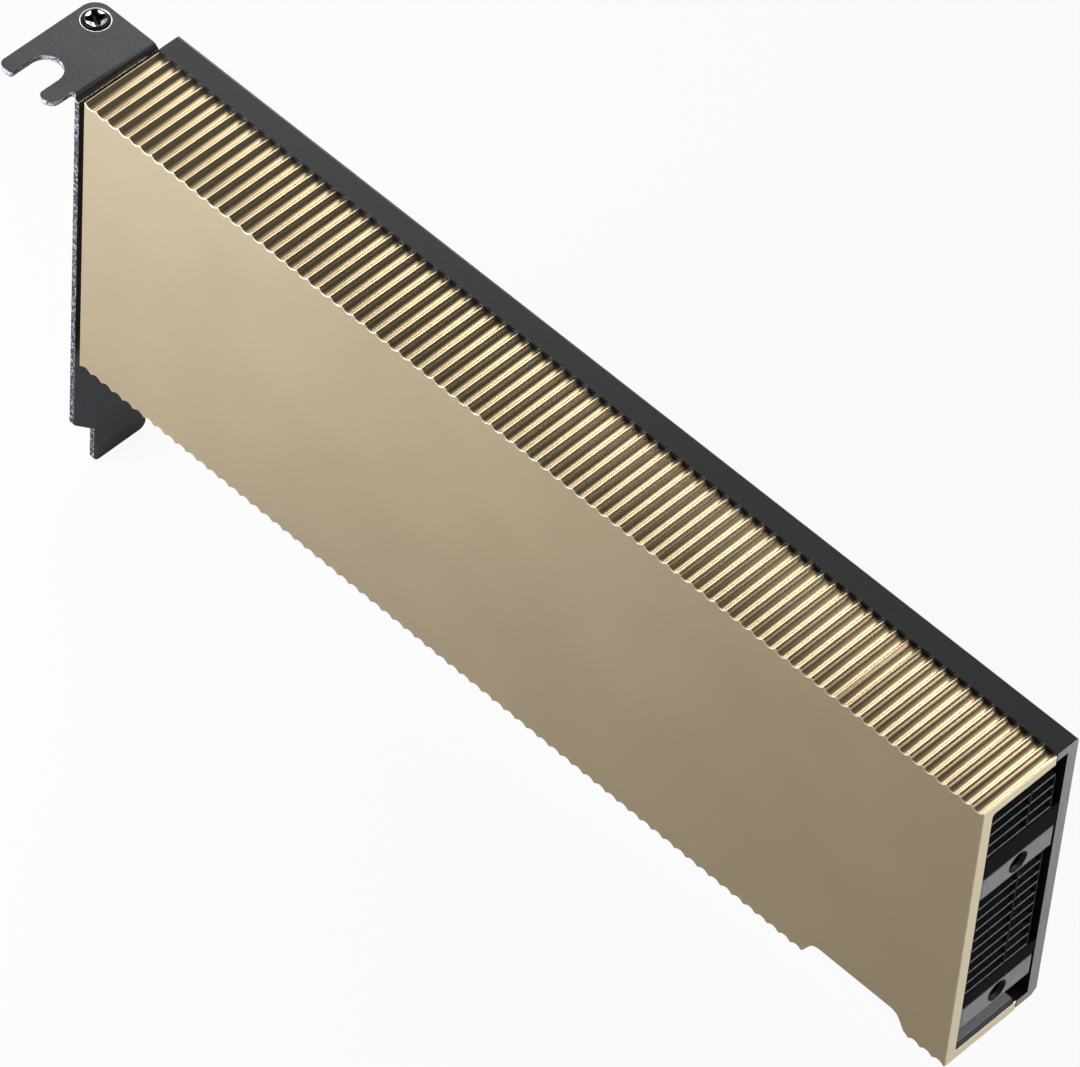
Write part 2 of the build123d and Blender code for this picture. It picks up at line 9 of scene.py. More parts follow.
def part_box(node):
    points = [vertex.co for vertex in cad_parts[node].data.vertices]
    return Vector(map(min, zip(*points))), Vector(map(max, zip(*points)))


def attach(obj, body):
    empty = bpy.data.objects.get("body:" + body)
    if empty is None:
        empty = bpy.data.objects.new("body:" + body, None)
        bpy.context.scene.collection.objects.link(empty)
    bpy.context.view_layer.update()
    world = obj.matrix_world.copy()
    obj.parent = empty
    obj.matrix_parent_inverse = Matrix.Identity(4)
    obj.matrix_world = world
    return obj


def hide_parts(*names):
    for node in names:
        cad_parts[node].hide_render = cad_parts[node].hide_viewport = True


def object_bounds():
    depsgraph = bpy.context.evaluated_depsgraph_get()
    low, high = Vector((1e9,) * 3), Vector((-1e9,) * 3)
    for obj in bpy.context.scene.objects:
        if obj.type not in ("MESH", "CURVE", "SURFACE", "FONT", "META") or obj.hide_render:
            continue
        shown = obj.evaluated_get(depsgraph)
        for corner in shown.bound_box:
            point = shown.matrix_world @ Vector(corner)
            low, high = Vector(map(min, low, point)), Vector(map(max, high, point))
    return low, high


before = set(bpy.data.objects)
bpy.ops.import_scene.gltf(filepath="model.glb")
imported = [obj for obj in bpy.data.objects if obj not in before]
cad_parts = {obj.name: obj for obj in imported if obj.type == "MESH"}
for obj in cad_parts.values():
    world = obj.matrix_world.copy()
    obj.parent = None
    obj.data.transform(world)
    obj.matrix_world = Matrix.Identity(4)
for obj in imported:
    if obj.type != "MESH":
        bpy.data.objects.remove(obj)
cad_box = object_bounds()

MM = 0.001

# Boxes of the CAD nodes that the scene's own pieces are fitted to
COVER_LOW, COVER_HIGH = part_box("heatsink_cover")
FRAME_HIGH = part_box("back_frame")[1]
BRACKET_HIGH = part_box("io_bracket")[1]
FINS_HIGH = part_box("fin_stack")[1]
UPPER_BAR_LOW, UPPER_BAR_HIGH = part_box("upper_crossbar")
LOWER_BAR_LOW, LOWER_BAR_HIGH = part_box("lower_crossbar")
TAB_SCREW_LOW, TAB_SCREW_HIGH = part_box("tab_screw")
FRAME_SCREWS_LOW, FRAME_SCREWS_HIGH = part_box("frame_screws")

# Fluted cover
FACE_WALL = 2.0 * MM
TOP_WALL = 1.8 * MM
BOTTOM_WALL = 1.95 * MM
FLUTE_PITCH = 2.15 * MM
FLUTE_LAND = 0.35 * MM
FLUTE_DEPTH = 0.5 * MM
FLUTE_STEPS = 12
LAND_BREAK = 0.1 * MM
FLUTE_TRIM = 0.22  # radians left off each end of a flute's arc, where it runs into its land
FACE_BREAK = 0.16 * MM
END_BREAK = 0.12 * MM
INNER_ROUND = 0.5 * MM
INNER_STEPS = 3
MITRE_LIMIT = 1.5
FACE_ROW = 3  # rows count the section's sides, from the lower rim round the outside
TOP_ROW = 6
BREAK_ROWS = {1, 2, 4, 5}
SMOOTH_ANGLE = 40
LATCH_FROM_END = 7.2 * MM
LATCH_WIDTH = 18.9 * MM
LATCH_DEPTH = 3.2 * MM
LATCH_SLOPE = 1.85 * MM
LATCH_ROUND = 2.0 * MM
LATCH_LIP_ROUND = 0.8 * MM
CORNER_STEPS = 5

# Fin stack
FIN_WEB_FROM_BACK = 4.65 * MM
FIN_WEB_HALF = 0.2 * MM
FIN_END_WEB = 0.25 * MM

# Bracket and bare end of the frame
TAB_SHEET = 0.8 * MM
BARE_END = 0.06 * MM

# Broken edges of the CAD nodes, and points near enough to be one
BREAK_ANGLE = 35
WELD_REACH = 0.002 * MM
TOUCH = 0.0001 * MM

# Bare middle of the coupling capacitors, to either side
CERAMIC_HALF = 0.45 * MM

# Screws
TAB_HEAD_RADIUS = 1.92 * MM
TAB_CROSS_SHARE = 0.76
TAB_CROSS_DEPTH = 0.8 * MM
TAB_CROSS_TURN = 57
TAB_HEAD_PROUD = 0.35 * MM
TAB_HEAD_OFF = (-0.11 * MM, 0.13 * MM)
TAB_SEAT_RADIUS = 2.2 * MM
SEAT_LIP_WIDTH = 0.06 * MM
SEAT_LIP_HEIGHT = 0.01 * MM
SEAT_DEPTH = 0.33 * MM
TAB_SHANK_RADIUS = 1.0 * MM
FRAME_HEAD_RADIUS = 2.0 * MM
FRAME_CROSS_SHARE = 0.62
FRAME_CROSS_DEPTH = 0.7 * MM
FRAME_CROSS_TURN = 23
FRAME_SHANK_RADIUS = 1.0 * MM
FRAME_SCREW_REACH = 8.0 * MM
WING_SHARE = 0.24
HEAD_SEGMENTS = 48
SEAT_SEGMENTS = 64
SEAT_ANGLE = 60

# Tapped holes in the crossbars
TAPPED_FROM_BOARD = 5.22 * MM
TAPPED_RADIUS = 1.25 * MM
TAPPED_DEPTH = 6.0 * MM
TAPPED_SINK = 0.55 * MM
COUNTERSINK_REACH = 0.5 * MM
THREAD_PITCH = 0.5 * MM
THREAD_HEIGHT = 0.22 * MM
THREAD_ROOT = 0.02 * MM
THREAD_STEPS = 28
THREAD_ANGLE = 50


# Shader tools
class Signal:
    """One output of a shader node; arithmetic on it adds Math nodes."""

    def __init__(self, tree, socket):
        self.tree = tree
        self.socket = socket

    def maths(self, operation, first, second):
        node = self.tree.nodes.new("ShaderNodeMath")
        node.operation = operation
        for place, value in zip(node.inputs, (first, second)):
            feed(self.tree, place, value)
        return Signal(self.tree, node.outputs[0])

    def __add__(self, other):
        return self.maths("ADD", self, other)

    __radd__ = __add__

    def __mul__(self, other):
        return self.maths("MULTIPLY", self, other)

    __rmul__ = __mul__

    def __sub__(self, other):
        return self.maths("SUBTRACT", self, other)

    def __rsub__(self, other):
        return self.maths("SUBTRACT", other, self)

    def __gt__(self, other):
        return self.maths("GREATER_THAN", self, other)

    def __lt__(self, other):
        return self.maths("LESS_THAN", self, other)


def feed(tree, place, value):
    """Link a signal into a socket, or set a plain value on it."""
    if isinstance(value, Signal):
        tree.links.new(value.socket, place)
    else:
        place.default_value = value


def rgb(red, green, blue):
    """A colour as it looks on the finished piece, in 0 to 255, made linear for the shader."""
    parts = [part / 255 for part in (red, green, blue)]
    return [part / 12.92 if part <= 0.04045 else ((part + 0.055) / 1.055) ** 2.4 for part in parts] + [1]


class Shading:
    """The nodes of one material or of the world."""

    def __init__(self, tree):
        self.tree = tree

    def add(self, kind, settings=(), sockets=(), output=0):
        """Add a node, set it up, feed its sockets and return one of its outputs."""
        node = self.tree.nodes.new(kind)
        for name, value in dict(settings).items():
            setattr(node, name, value)
        for name, value in dict(sockets).items():
            feed(self.tree, node.inputs[name], value)
        return Signal(self.tree, node.outputs[output])

    def place(self):
        """The position on the object, in metres."""
        return self.add("ShaderNodeNewGeometry", output="Position")

    def stretched(self, x, y, z):
        """The position, stretched along each axis, for grain that runs one way."""
        return self.add("ShaderNodeVectorMath", {"operation": "MULTIPLY"}, {0: self.place(), 1: (x, y, z)})

    def dot(self, vector, x, y, z):
        """How far a vector runs along a direction."""
        settings = {"operation": "DOT_PRODUCT"}
        return self.add("ShaderNodeVectorMath", settings, {0: vector, 1: (x, y, z)}, output="Value")

    def axis(self, vector, name):
        return self.add("ShaderNodeSeparateXYZ", sockets={"Vector": vector}, output=name)

    def normal_along(self, x, y, z):
        """How far the surface looks along a direction, from -1 to 1."""
        return self.dot(self.add("ShaderNodeNewGeometry", output="True Normal"), x, y, z)

    def noise(self, scale, detail=3, roughness=0.55, vector=None):
        sockets = {"Vector": vector or self.place(), "Scale": scale, "Detail": detail, "Roughness": roughness}
        return self.add("ShaderNodeTexNoise", sockets=sockets)

    def drawn(self, x, y, z, detail=3):
        """Noise drawn out along the axes with the low numbers."""
        return self.noise(1, detail, vector=self.stretched(x, y, z))

    def between(self, value, low, high, from_low=0.0, from_high=1.0):
        """Spread a value from one range over another."""
        limits = {"From Min": from_low, "From Max": from_high, "To Min": low, "To Max": high}
        return self.add("ShaderNodeMapRange", sockets={"Value": value, **limits})

    def blend(self, mask, first, second):
        """Mix two colours by a mask."""
        return self.add("ShaderNodeMix", {"data_type": "RGBA"}, {0: mask, 6: first, 7: second}, output=2)

    def mottled(self, grain, first, second, low=0.3, high=0.7):
        """One colour that turns into another where the grain is high."""
        return self.blend(self.between(grain, 0, 1, low, high), first, second)

    def bump(self, height, depth, strength):
        return self.add("ShaderNodeBump", sockets={"Height": height, "Distance": depth, "Strength": strength})


class Finish(Shading):
    """A material in the making, with its main shader."""

    def __init__(self, name, **constants):
        self.material = bpy.data.materials.new(name)
        self.material.use_nodes = True
        super().__init__(self.material.node_tree)
        self.shader = self.tree.nodes["Principled BSDF"]
        for socket, value in constants.items():
            self.shader.inputs[socket.replace("_", " ")].default_value = value

    def set(self, **varying):
        for socket, value in varying.items():
            feed(self.tree, self.shader.inputs[socket.replace("_", " ")], value)
        return self.material


# Finishes
def blasted_gold():
    """Gold anodised aluminium with a fine blasted grain."""
    finish = Finish("blasted_gold", Metallic=1.0, Coat_Weight=0.3, Coat_Roughness=0.32, Coat_IOR=1.6)
    grain = finish.noise(5200, detail=2)
    drift = finish.noise(38, detail=2)
    worn = finish.noise(900, detail=4, roughness=0.7)
    colour = finish.mottled(drift, rgb(195, 173, 133), rgb(201, 179, 139), 0.35, 0.65)
    colour = finish.blend(finish.between(grain, 0, 0.12, 0.35, 0.75), colour, rgb(158, 138, 107))
    return finish.set(
        Base_Color=colour,
        Roughness=finish.between(grain, 0.31, 0.37) + finish.between(worn, -0.02, 0.03),
        Normal=finish.bump(grain, 0.004 * MM, 0.15),
    )


def broken_gold_edge():
    """The cover's lands and broken edges, rubbed brighter and duller than its faces; the lighter colour is
    partly a painted highlight.
    """
    finish = Finish("broken_gold_edge", Metallic=1.0)
    nicks = finish.noise(1600)
    return finish.set(
        Base_Color=finish.mottled(nicks, rgb(222, 209, 182), rgb(204, 188, 156), 0.35, 0.7),
        Roughness=finish.between(nicks, 0.52, 0.64),
        Normal=finish.bump(nicks, 0.004 * MM, 0.2),
    )


def cut_gold_end():
    """The cover's open end, milled flat after casting and pale."""
    finish = Finish("cut_gold_end", Metallic=0.7)
    mill = finish.drawn(400, 1500, 6200)
    return finish.set(
        Base_Color=finish.mottled(mill, rgb(252, 238, 208), rgb(246, 229, 196)),
        Roughness=finish.between(mill, 0.36, 0.48),
        Normal=finish.bump(mill, 0.008 * MM, 0.4),
    )


def painted_frame():
    """Satin black powder coat; the cut end of the frame is bare aluminium."""
    finish = Finish("painted_frame", Specular_IOR_Level=0.32)
    grain = finish.noise(3600)
    soft = finish.noise(60, detail=2)
    at_end = finish.axis(finish.place(), "X") > FRAME_HIGH.x - BARE_END
    bare = at_end * (finish.normal_along(1, 0, 0) > 0.5)
    brushed = finish.drawn(900, 9000, 260)
    paint = finish.mottled(grain, rgb(17, 17, 18), rgb(24, 24, 25))
    metal = finish.mottled(brushed, rgb(158, 158, 159), rgb(188, 188, 188))
    rough = finish.between(grain, 0.42, 0.54) + finish.between(soft, -0.03, 0.03)
    return finish.set(
        Base_Color=finish.blend(bare, paint, metal),
        Metallic=bare,
        Roughness=rough - 0.08 * bare,
        Normal=finish.bump(grain, 0.01 * MM, 0.5),
    )


def paint_edge():
    """Where the black coat is thin along the frame's edges."""
    finish = Finish("paint_edge", Specular_IOR_Level=0.4)
    rub = finish.noise(1100, detail=4, roughness=0.7)
    return finish.set(
        Base_Color=finish.mottled(rub, rgb(25, 25, 26), rgb(40, 40, 41), 0.45, 0.7),
        Roughness=finish.between(rub, 0.34, 0.46),
        Normal=finish.bump(rub, 0.008 * MM, 0.5),
    )


def dark_fins():
    """Black anodised fins with lighter bare sheared ends; the end faces of the webs between them are painted
    near-black as painted shade.
    """
    finish = Finish("dark_fins", Metallic=0.6)
    roll = finish.drawn(220, 1800, 1800)
    across = finish.axis(finish.place(), "Y")
    from_web = across - (FINS_HIGH.y - FIN_WEB_FROM_BACK)
    shaded_web = (from_web * from_web < FIN_WEB_HALF**2) + (across > FINS_HIGH.y - FIN_END_WEB)
    looks_out = finish.normal_along(1, 0, 0) > 0.5
    coat = finish.mottled(roll, rgb(46, 47, 49), rgb(64, 64, 66))
    cut = finish.mottled(roll, rgb(84, 88, 92), rgb(120, 124, 128))
    # Painted shade: the webs' end faces are painted near-black, though they are cut like the fins' ends.
    return finish.set(
        Base_Color=finish.blend(shaded_web * looks_out, finish.blend(looks_out, coat, cut), rgb(14, 14, 15)),
        Roughness=finish.between(roll, 0.4, 0.56),
        Normal=finish.bump(roll, 0.012 * MM, 0.6),
    )


def satin_bar(name, middle_z):
    """Natural anodised crossbars, finely milled; the tapped hole's walls and countersink and the chamfers
    facing up and out are painted dark as painted shade.
    """
    finish = Finish(name, Metallic=1.0)
    place = finish.place()
    across, up = finish.axis(place, "Y") + TAPPED_FROM_BOARD, finish.axis(place, "Z") - middle_z
    off_axis = across * across + up * up
    # Painted shade: the tapped hole's walls and countersink, all but the faces towards the end, are painted
    # near-black.
    shaded_bore = (off_axis < (TAPPED_RADIUS + COUNTERSINK_REACH) ** 2) * (finish.normal_along(1, 0, 0) < 0.9)
    mill = finish.drawn(700, 5200, 420)
    spots = finish.noise(2400, detail=2)
    colour = finish.mottled(mill, rgb(155, 157, 160), rgb(177, 179, 182))
    colour = finish.blend(finish.between(spots, 0, 0.25, 0.5, 0.75), colour, rgb(104, 106, 110))
    # Painted shade: faces of the chamfers that look up and out are painted dark to hold back their highlight.
    shaded_chamfer = finish.normal_along(0.707, 0, 0.707) > 0.9
    colour = finish.blend(shaded_chamfer, colour, rgb(58, 59, 61))
    return finish.set(
        Base_Color=finish.blend(shaded_bore, colour, rgb(30, 30, 32)),
        Roughness=finish.between(mill, 0.36, 0.5),
        Normal=finish.bump(mill, 0.012 * MM, 0.5),
    )


def shaded_bar_edge():
    """Fine breaks along the crossbars' edges, painted darker than the bars as painted shade over their
    highlights.
    """
    finish = Finish("shaded_bar_edge", Metallic=1.0)
    nicks = finish.noise(1500)
    # Painted shade: the breaks are coloured darker than the bars to hold back the highlight along them.
    return finish.set(
        Base_Color=finish.blend(nicks, rgb(104, 106, 108), rgb(84, 86, 88)),
        Roughness=finish.between(nicks, 0.5, 0.62),
        Normal=finish.bump(nicks, 0.008 * MM, 0.5),
    )


def moulded(name, shade, rough, gloss=0.25):
    """Plastic, rubber or ceramic with the fine spark texture of its mould."""
    finish = Finish(name, Specular_IOR_Level=gloss)
    spark = finish.noise(3000)
    broad = finish.noise(120, detail=2)
    light = [min(255, part + 12) for part in shade]
    return finish.set(
        Base_Color=finish.mottled(spark, rgb(*shade), rgb(*light)),
        Roughness=finish.between(spark, rough, rough + 0.12) + finish.between(broad, -0.03, 0.03),
        Normal=finish.bump(spark, 0.015 * MM, 0.6),
    )


def lit_top_pad():
    """Dark rubber pad with a smooth grey film on its upper face, the film painted lighter as painted light
    from above.
    """
    finish = Finish("lit_top_pad", Specular_IOR_Level=0.4)
    skin = finish.noise(2600)
    # Painted light: faces that look upward get the light film colour, much lighter than the rubber sides.
    film = finish.normal_along(0, 0, 1) > 0.5
    rubber = finish.mottled(skin, rgb(44, 40, 42), rgb(56, 52, 54))
    grey = finish.mottled(skin, rgb(146, 148, 152), rgb(162, 164, 168))
    return finish.set(
        Base_Color=finish.blend(film, rubber, grey),
        Roughness=0.62 - 0.22 * film + finish.between(skin, 0, 0.08),
        Normal=finish.bump(skin, 0.012 * MM, 0.5),
    )


def black_steel():
    """The bracket's dark nickel plate, lightly textured by the tumbler; its tab walls and the walls facing
    along Y are painted bright in torn patches, partly as bare sheared steel and partly as painted highlight.
    """
    finish = Finish("black_steel", Metallic=0.85)
    tumble = finish.noise(2600, roughness=0.65)
    cloud = finish.noise(140)
    colour = finish.mottled(tumble, rgb(61, 61, 63), rgb(75, 75, 76), 0.35, 0.65)
    colour = finish.blend(finish.between(cloud, 0, 0.35, 0.4, 0.7), colour, rgb(52, 52, 55))
    upright = finish.normal_along(0, 0, 1)
    along_y = finish.normal_along(0, 1, 0)
    # Painted highlight: the tab's walls and the blade's walls that face along Y get bright steel in patches,
    # partly sheared steel, partly standing in for the light they reflect.
    tab_wall = (upright * upright < 0.3) * (finish.axis(finish.place(), "Z") > BRACKET_HIGH.z - TAB_SHEET)
    sheared = tab_wall + (along_y * along_y > 0.5) * (1 - tab_wall)
    tears = finish.noise(1900, detail=4, roughness=0.75)
    on_blade = finish.between(tears, 0, 1, 0.5, 0.62) * (1 - tab_wall)
    shown = on_blade + finish.between(tears, 0, 1, 0.4, 0.5) * tab_wall
    bright = finish.blend(shown, rgb(50, 50, 54), rgb(206, 206, 208))
    return finish.set(
        Base_Color=finish.blend(sheared, colour, bright),
        Roughness=finish.between(tumble, 0.4, 0.54) - 0.1 * sheared,
        Normal=finish.bump(tumble, 0.02 * MM, 0.6),
    )


def sheared_steel():
    """The bracket's sheared edges: bright steel with dark tears along the cut."""
    finish = Finish("sheared_steel", Metallic=1.0)
    tears = finish.noise(2300, detail=4, roughness=0.75)
    long_tears = finish.drawn(500, 500, 1500, detail=2)
    mask = finish.between(tears * long_tears, 0, 1, 0.2, 0.3)
    return finish.set(
        Base_Color=finish.blend(mask, rgb(40, 40, 44), rgb(236, 236, 236)),
        Roughness=finish.between(tears, 0.25, 0.45),
        Normal=finish.bump(tears, 0.03 * MM, 0.8),
    )


def screw_black():
    """Black oxide on the screws; the threads in the tapped holes get the same dark finish as painted shade.
    """
    finish = Finish("screw_black", Metallic=0.9)
    oxide = finish.noise(2600)
    return finish.set(
        Base_Color=finish.mottled(oxide, rgb(26, 26, 27), rgb(40, 40, 41), 0.35, 0.7),
        Roughness=finish.between(oxide, 0.22, 0.36),
        Normal=finish.bump(oxide, 0.008 * MM, 0.5),
    )


def seat_highlight():
    """The bright ring round the tab's screw, and its head where the driver has worn it; the near-white colour
    is partly a painted highlight.
    """
    finish = Finish("seat_highlight", Metallic=1.0)
    turned = finish.noise(2000, detail=2)
    return finish.set(
        Base_Color=finish.blend(turned, rgb(252, 252, 250), rgb(236, 236, 236)),
        Roughness=finish.between(turned, 0.4, 0.5),
        Normal=finish.bump(turned, 0.006 * MM, 0.4),
    )


def solder_mask():
    """Dark solder mask over copper tracks, with plated holes and bare laminate on the cut edge."""
    finish = Finish("solder_mask", Specular_IOR_Level=0.5)
    tracks = finish.add(
        "ShaderNodeTexWave",
        {"wave_type": "BANDS", "bands_direction": "X"},
        {"Vector": finish.place(), "Scale": 420.0, "Distortion": 1.2, "Detail": 1.0, "Detail Scale": 60.0},
    )
    copper = finish.between(tracks, 0, 1, 0.45, 0.55)
    cells = finish.add(
        "ShaderNodeTexVoronoi",
        {"feature": "F1"},
        {"Vector": finish.place(), "Scale": 520.0, "Randomness": 0.7},
    )
    hole = cells < 0.16
    weave = finish.drawn(1500, 1500, 7000, detail=2)
    flat = finish.normal_along(0, 1, 0)
    edge = 1 - (flat * flat > 0.5)
    mask = finish.blend(copper, rgb(14, 40, 27), rgb(20, 58, 38))
    mask = finish.blend(hole, mask, rgb(128, 112, 70))
    laminate = finish.blend(weave, rgb(112, 116, 78), rgb(142, 142, 96))
    return finish.set(
        Base_Color=finish.blend(edge, mask, laminate),
        Roughness=finish.between(copper, 0.32, 0.4) + 0.3 * edge,
        Normal=finish.bump(copper - hole, 0.03 * MM, 0.6),
    )


def contact_gold():
    """Hard gold on the edge contacts, scuffed along the way they slide."""
    finish = Finish("contact_gold", Metallic=1.0)
    scuff = finish.drawn(5200, 5200, 300)
    return finish.set(
        Base_Color=finish.mottled(scuff, rgb(224, 184, 104), rgb(196, 150, 76), 0.35, 0.7),
        Roughness=finish.between(scuff, 0.22, 0.36),
        Normal=finish.bump(scuff, 0.006 * MM, 0.5),
    )


def coupling_ceramic(middle_z):
    """Brown ceramic with a metal cap at both ends."""
    finish = Finish("coupling_ceramic")
    grain = finish.noise(2400, detail=2)
    offset = finish.axis(finish.place(), "Z") - middle_z
    end = offset * offset > CERAMIC_HALF**2
    ceramic = finish.mottled(grain, rgb(138, 112, 84), rgb(154, 128, 100))
    return finish.set(
        Base_Color=finish.blend(end, ceramic, rgb(196, 198, 200)),
        Metallic=end,
        Roughness=finish.between(grain, 0.34, 0.48),
        Normal=finish.bump(grain, 0.02 * MM, 0.5),
    )


def package_green():
    """The processor's organic substrate."""
    finish = Finish("package_green")
    weave = finish.drawn(3000, 3000, 3000, detail=2)
    return finish.set(
        Base_Color=finish.blend(weave, rgb(34, 70, 46), rgb(46, 88, 58)),
        Roughness=finish.between(weave, 0.4, 0.55),
        Normal=finish.bump(weave, 0.01 * MM, 0.5),
    )


def lapped_die():
    """Bare silicon, lapped and faintly blue."""
    finish = Finish("lapped_die", Metallic=0.9)
    lap = finish.drawn(6000, 400, 400, detail=2)
    return finish.set(
        Base_Color=finish.blend(lap, rgb(96, 102, 116), rgb(120, 126, 138)),
        Roughness=finish.between(lap, 0.12, 0.2),
        Normal=finish.bump(lap, 0.003 * MM, 0.3),
    )


def soft_pad():
    """Filled silicone thermal pads."""
    finish = Finish("soft_pad", Specular_IOR_Level=0.3)
    filler = finish.noise(3200)
    return finish.set(
        Base_Color=finish.blend(filler, rgb(150, 148, 158), rgb(176, 174, 182)),
        Roughness=finish.between(filler, 0.7, 0.85),
        Normal=finish.bump(filler, 0.03 * MM, 0.6),
    )


def milled_plate():
    """The heat sink's base, face-milled."""
    finish = Finish("milled_plate", Metallic=1.0)
    passes = finish.drawn(300, 300, 6000, detail=2)
    return finish.set(
        Base_Color=finish.blend(passes, rgb(176, 176, 178), rgb(198, 198, 200)),
        Roughness=finish.between(passes, 0.28, 0.4),
        Normal=finish.bump(passes, 0.01 * MM, 0.4),
    )


def black_film():
    """Matt polyester film."""
    finish = Finish("black_film", Specular_IOR_Level=0.35)
    haze = finish.noise(900)
    return finish.set(
        Base_Color=finish.blend(haze, rgb(22, 22, 24), rgb(34, 34, 36)),
        Roughness=finish.between(haze, 0.5, 0.62),
        Normal=finish.bump(haze, 0.01 * MM, 0.5),
    )


def wound_core():
    """Pressed iron cores of the inductors."""
    finish = Finish("wound_core", Specular_IOR_Level=0.4)
    pressed = finish.noise(2600, detail=4, roughness=0.7)
    return finish.set(
        Base_Color=finish.blend(pressed, rgb(64, 64, 68), rgb(92, 92, 96)),
        Roughness=finish.between(pressed, 0.6, 0.75),
        Normal=finish.bump(pressed, 0.04 * MM, 0.7),
    )


# Mesh tools
def skin(mesh, loops):
    """Join each ring of points to the next, and return (ring, place, quad) for every quad."""
    quads = []
    for ring, (first, second) in enumerate(zip(loops, loops[1:])):
        for place in range(len(first)):
            after = (place + 1) % len(first)
            quad = mesh.faces.new((first[place], first[after], second[after], second[place]))
            quads.append((ring, place, quad))
    return quads


def object_from(name, mesh, *materials):
    """Turn a bmesh into an object of the scene, with its materials."""
    data = bpy.data.meshes.new(name)
    mesh.to_mesh(data)
    mesh.free()
    for material in materials:
        data.materials.append(material)
    made = bpy.data.objects.new(name, data)
    bpy.context.scene.collection.objects.link(made)
    return made


def piece_from(name, mesh, *materials):
    """Turn a bmesh into a piece that rides on the card's one body."""
    bmesh.ops.recalc_face_normals(mesh, faces=mesh.faces[:])
    piece = object_from(name, mesh, *materials)
    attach(piece, "root")
    return piece


def smooth_below(piece, degrees, flat=()):
    """Shade a piece smooth, but keep edges above an angle crisp and some faces flat."""
    piece.data.set_sharp_from_angle(angle=math.radians(degrees))
    for polygon in piece.data.polygons:
        polygon.use_smooth = polygon.index not in flat


def dress(node, face, edge=None, width=0.0, segments=2):
    """Give a CAD node its finish, and break its edges where the real ones are broken."""
    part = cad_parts[node]
    part.data.materials.clear()
    part.data.materials.append(face)
    if edge:
        part.data.materials.append(edge)
    if width:
        weld = part.modifiers.new("weld", "WELD")
        weld.merge_threshold = WELD_REACH
        broken = part.modifiers.new("broken_edges", "BEVEL")
        broken.width = width
        broken.segments = segments
        broken.limit_method = "ANGLE"
        broken.angle_limit = math.radians(BREAK_ANGLE)
        broken.harden_normals = True
        if edge:
            broken.material = 1


# Fluted cover
def flute_profile():
    """Depth of one pitch of flutes, as (along, depth) pairs from one land's middle to the next."""
    width = FLUTE_PITCH - FLUTE_LAND
    radius = (width**2 / 4 + FLUTE_DEPTH**2) / (2 * FLUTE_DEPTH)
    half = math.asin(width / 2 / radius)
    corner = (FLUTE_PITCH - width) / 2
    points = [(0.0, 0.0), (corner - LAND_BREAK, 0.0)]
    for step in range(FLUTE_STEPS + 1):
        turn = (half - FLUTE_TRIM) * (2 * step / FLUTE_STEPS - 1)
        along = FLUTE_PITCH / 2 + radius * math.sin(turn)
        points.append((along, radius * math.cos(turn) + FLUTE_DEPTH - radius))
    points.append((FLUTE_PITCH - corner + LAND_BREAK, 0.0))
    return points


def flute_depths(low_x, high_x):
    """Depth of the fluted edge along the whole cover, as (x, depth) pairs."""
    count = int((high_x - low_x - FLUTE_LAND) / FLUTE_PITCH + 1e-6)
    start = (low_x + high_x - count * FLUTE_PITCH) / 2
    line = [(low_x, 0.0)]
    for index in range(count):
        line += [(start + index * FLUTE_PITCH + along, depth) for along, depth in flute_profile()]
    line.append((high_x, 0.0))
    return line


def depth_at(line, x):
    """Depth of the fluted edge at one place, between its points."""
    for (low_x, low), (high_x, high) in zip(line, line[1:]):
        if low_x <= x <= high_x and high_x > low_x:
            return low + (high - low) * (x - low_x) / (high_x - low_x)
    return 0.0


def rounded_corner(before, corner, after, radius):
    """Points of an arc that rounds one corner of a polyline."""
    before, corner, after = Vector(before), Vector(corner), Vector(after)
    back, ahead = (before - corner).normalized(), (after - corner).normalized()
    half = back.angle(ahead) / 2
    reach = radius / math.tan(half)
    centre = corner + (back + ahead).normalized() * radius / math.sin(half)
    start = (corner + back * reach - centre).normalized()
    end = (corner + ahead * reach - centre).normalized()
    return [centre + radius * start.slerp(end, step / CORNER_STEPS) for step in range(CORNER_STEPS + 1)]


def latch_edge():
    """Outline of the latch cut-out, as (x, z) pairs from its bracket side to its open side."""
    end_x = COVER_HIGH.x - LATCH_FROM_END
    start_x = end_x - LATCH_WIDTH
    low, high = COVER_LOW.z, COVER_LOW.z + LATCH_DEPTH
    corners = [
        (start_x - 2 * MM, low),
        (start_x, low),
        (start_x + LATCH_SLOPE, high),
        (end_x - LATCH_SLOPE, high),
        (end_x, low),
        (end_x + 2 * MM, low),
    ]
    radii = [LATCH_LIP_ROUND, LATCH_ROUND, LATCH_ROUND, LATCH_LIP_ROUND]
    points = []
    for before, corner, after, radius in zip(corners, corners[1:], corners[2:], radii):
        points += rounded_corner(before, corner, after, radius)
    return points


def cover_columns():
    """Top and bottom edges of the cover at each x, as (x, top, bottom, flange) rows.

    The flange is False where the latch cut-out has taken the whole bottom wall away.
    """
    line = flute_depths(COVER_LOW.x, COVER_HIGH.x)
    cut = latch_edge()
    floor = COVER_LOW.z + BOTTOM_WALL

    def bottom_at(x):
        fluted = COVER_LOW.z + depth_at(line, x)
        for low, high in zip(cut, cut[1:]):
            if low.x <= x <= high.x and high.x > low.x:
                return max(fluted, low.y + (high.y - low.y) * (x - low.x) / (high.x - low.x))
        return fluted

    crossings = []
    for low, high in zip(cut, cut[1:]):
        if (low.y - floor) * (high.y - floor) < 0:
            crossings.append(low.x + (high.x - low.x) * (floor - low.y) / (high.y - low.y))
    places = sorted({x for x, depth in line} | {point.x for point in cut} | set(crossings))
    columns = []
    for x in places:
        top = COVER_HIGH.z - depth_at(line, x)
        inside = crossings[0] < x < crossings[1]
        if x in crossings:
            rows = [True, False] if x == crossings[0] else [False, True]
            columns += [(x, top, floor, flange) for flange in rows]
        else:
            columns.append((x, top, bottom_at(x), not inside))
    return columns


